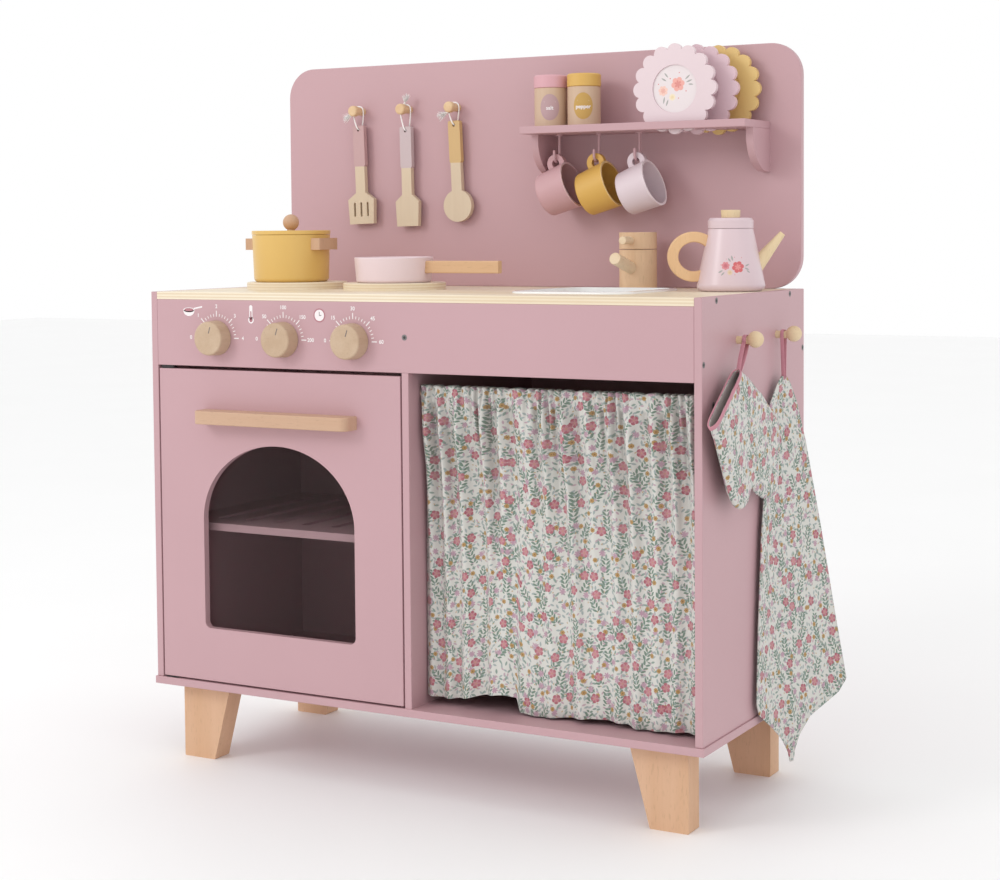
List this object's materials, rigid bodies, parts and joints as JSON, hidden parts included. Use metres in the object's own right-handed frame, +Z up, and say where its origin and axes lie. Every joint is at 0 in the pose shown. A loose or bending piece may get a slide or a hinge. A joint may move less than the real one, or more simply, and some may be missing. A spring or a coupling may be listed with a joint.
{
  "type": "toy kitchen",
  "caption": "Free-standing wooden play kitchen with oven door, turning knobs, sink and tap, curtained cupboard, wall shelf, hanging utensils, crockery, pot, pan, kettle, oven mitt and tea towel",
  "frame": {"origin": "on the floor, in the middle of the whole footprint", "axes": "+Z up, -Y towards the child who plays, +X to that child's right; nothing turned at rest"},
  "size_m": [0.785, 0.331, 0.862],
  "materials": {
    "pink_paint": "satin paint on MDF board",
    "plywood": "clear-lacquered birch plywood",
    "beech": "oiled beech",
    "birch": "sanded birch",
    "pale_pink_paint": "satin paint on wood",
    "mustard_paint": "satin paint on wood",
    "lilac_paint": "satin paint on wood",
    "white_enamel": "white enamelled steel",
    "pink_wire": "powder-coated wire",
    "zinc": "zinc-plated steel",
    "smoked_acrylic": "smoked clear acrylic",
    "white_plastic": "moulded plastic",
    "cotton_print": "printed cotton",
    "pink_string": "twisted cotton string"
  },
  "bodies": {
    "cabinet": {"side_panel_left": "pink_paint", "side_panel_right": "pink_paint", "base_panel": "pink_paint", "worktop": "plywood", "fascia_panel": "pink_paint", "partition_panel": "pink_paint", "rear_panel": "pink_paint", "backsplash": "pink_paint", "oven_shelf": "pink_paint", "legs": "beech", "cabinet_screws": "zinc", "hob_discs": "plywood", "sink_basin": "white_enamel", "wall_shelf": "pink_paint", "shelf_brackets": "pink_paint", "cup_hooks": "pink_wire", "curtain_rod": "beech", "utensil_pegs": "beech", "side_pegs": "beech", "tap_body": "beech", "tap_spout": "beech", "door_pivots": "zinc", "magnet_catch": "white_plastic"},
    "door": {"door_panel": "pink_paint", "door_window": "smoked_acrylic", "door_handle": "beech", "door_fixings": "zinc"},
    "knob_l": {"knob_left": "beech"},
    "knob_m": {"knob_middle": "beech"},
    "knob_r": {"knob_right": "beech"},
    "tap_top": {"tap_head": "beech", "tap_lever": "beech"},
    "curtain_body": {"curtain": "cotton_print"},
    "pot": {"pot_body": "mustard_paint", "pot_handles": "beech"},
    "pot_cover": {"pot_lid": "mustard_paint", "pot_lid_knob": "beech"},
    "pan": {"pan_body": "pale_pink_paint", "pan_handle": "beech"},
    "kettle": {"kettle_body": "pale_pink_paint", "kettle_handle": "beech", "kettle_spout": "birch"},
    "kettle_cover": {"kettle_lid": "pale_pink_paint", "kettle_lid_knob": "birch"},
    "turner_body": {"turner": "birch", "turner_string": "pink_string"},
    "spatula_body": {"spatula": "birch", "spatula_string": "pink_string"},
    "spoon_body": {"spoon": "birch", "spoon_string": "pink_string"},
    "mug_pink_body": {"mug_pink": "pale_pink_paint"},
    "mug_mustard_body": {"mug_mustard": "mustard_paint"},
    "mug_lilac_body": {"mug_lilac": "lilac_paint"},
    "plate_flower_body": {"plate_flower": "pale_pink_paint"},
    "plate_pink_body": {"plate_pink": "pale_pink_paint"},
    "plate_mustard_body": {"plate_mustard": "mustard_paint"},
    "shaker_pink_body": {"shaker_pink": "birch"},
    "shaker_mustard_body": {"shaker_mustard": "birch"},
    "mitt_body": {"oven_mitt": "cotton_print"},
    "towel_body": {"towel": "cotton_print"}
  },
  "joints": [
    {"name": "door_hinge", "type": "hinge", "parent": "cabinet", "child": "door", "pos_m": [-0.3685, -0.136, 0.292], "axis": [0, 0, -1], "range_deg": [0, 100]},
    {"name": "knob_left_turn", "type": "hinge", "parent": "cabinet", "child": "knob_l", "pos_m": [-0.2917, -0.1405, 0.5195], "axis": [0, -1, 0], "continuous": true},
    {"name": "knob_middle_turn", "type": "hinge", "parent": "cabinet", "child": "knob_m", "pos_m": [-0.1945, -0.1405, 0.5195], "axis": [0, -1, 0], "continuous": true},
    {"name": "knob_right_turn", "type": "hinge", "parent": "cabinet", "child": "knob_r", "pos_m": [-0.0973, -0.1405, 0.5195], "axis": [0, -1, 0], "continuous": true},
    {"name": "tap_lever_turn", "type": "hinge", "parent": "cabinet", "child": "tap_top", "pos_m": [0.1465, 0.1095, 0.631], "axis": [0, 0, 1], "range_deg": [-90, 90]},
    {"name": "curtain_draw", "type": "slide", "parent": "cabinet", "child": "curtain_body", "axis": [-1, 0, 0], "range_m": [0, 0.2], "deforming": ["curtain"]},
    {"name": "pot_lift", "type": "slide", "parent": "cabinet", "child": "pot", "axis": [0, 0, 1], "range_m": [0, 0.15]},
    {"name": "pot_lid_lift", "type": "slide", "parent": "pot", "child": "pot_cover", "axis": [0, 0, 1], "range_m": [0, 0.1]},
    {"name": "pan_lift", "type": "slide", "parent": "cabinet", "child": "pan", "axis": [0, 0, 1], "range_m": [0, 0.15]},
    {"name": "kettle_lift", "type": "slide", "parent": "cabinet", "child": "kettle", "axis": [0, 0, 1], "range_m": [0, 0.06]},
    {"name": "kettle_lid_lift", "type": "slide", "parent": "kettle", "child": "kettle_cover", "axis": [0, 0, 1], "range_m": [0, 0.03]},
    {"name": "plate_flower_lift", "type": "slide", "parent": "cabinet", "child": "plate_flower_body", "axis": [0, 0, 1], "range_m": [0, 0.11]},
    {"name": "plate_pink_lift", "type": "slide", "parent": "cabinet", "child": "plate_pink_body", "axis": [0, 0, 1], "range_m": [0, 0.11]},
    {"name": "plate_mustard_lift", "type": "slide", "parent": "cabinet", "child": "plate_mustard_body", "axis": [0, 0, 1], "range_m": [0, 0.11]},
    {"name": "shaker_pink_lift", "type": "slide", "parent": "cabinet", "child": "shaker_pink_body", "axis": [0, 0, 1], "range_m": [0, 0.08]},
    {"name": "shaker_mustard_lift", "type": "slide", "parent": "cabinet", "child": "shaker_mustard_body", "axis": [0, 0, 1], "range_m": [0, 0.08]},
    {"name": "turner_swing", "type": "hinge", "parent": "cabinet", "child": "turner_body", "pos_m": [-0.2737, 0.1475, 0.8023], "axis": [0, 1, 0], "range_deg": [-6, 6]},
    {"name": "spatula_swing", "type": "hinge", "parent": "cabinet", "child": "spatula_body", "pos_m": [-0.2009, 0.1475, 0.8023], "axis": [0, 1, 0], "range_deg": [-6, 6]},
    {"name": "spoon_swing", "type": "hinge", "parent": "cabinet", "child": "spoon_body", "pos_m": [-0.1285, 0.1475, 0.8023], "axis": [0, 1, 0], "range_deg": [-6, 6]},
    {"name": "mug_pink_swing", "type": "hinge", "parent": "cabinet", "child": "mug_pink_body", "pos_m": [0.0345, 0.1165, 0.728], "axis": [0, 1, 0], "range_deg": [-5, 5]},
    {"name": "mug_mustard_swing", "type": "hinge", "parent": "cabinet", "child": "mug_mustard_body", "pos_m": [0.0885, 0.1165, 0.728], "axis": [0, 1, 0], "range_deg": [-5, 5]},
    {"name": "mug_lilac_swing", "type": "hinge", "parent": "cabinet", "child": "mug_lilac_body", "pos_m": [0.1425, 0.1165, 0.728], "axis": [0, 1, 0], "range_deg": [-5, 5]},
    {"name": "mitt_swing", "type": "hinge", "parent": "cabinet", "child": "mitt_body", "pos_m": [0.3435, -0.043, 0.525], "axis": [1, 0, 0], "range_deg": [-6, 6]},
    {"name": "towel_swing", "type": "hinge", "parent": "cabinet", "child": "towel_body", "pos_m": [0.3435, 0.075, 0.525], "axis": [1, 0, 0], "range_deg": [-4, 4]}
  ]
}
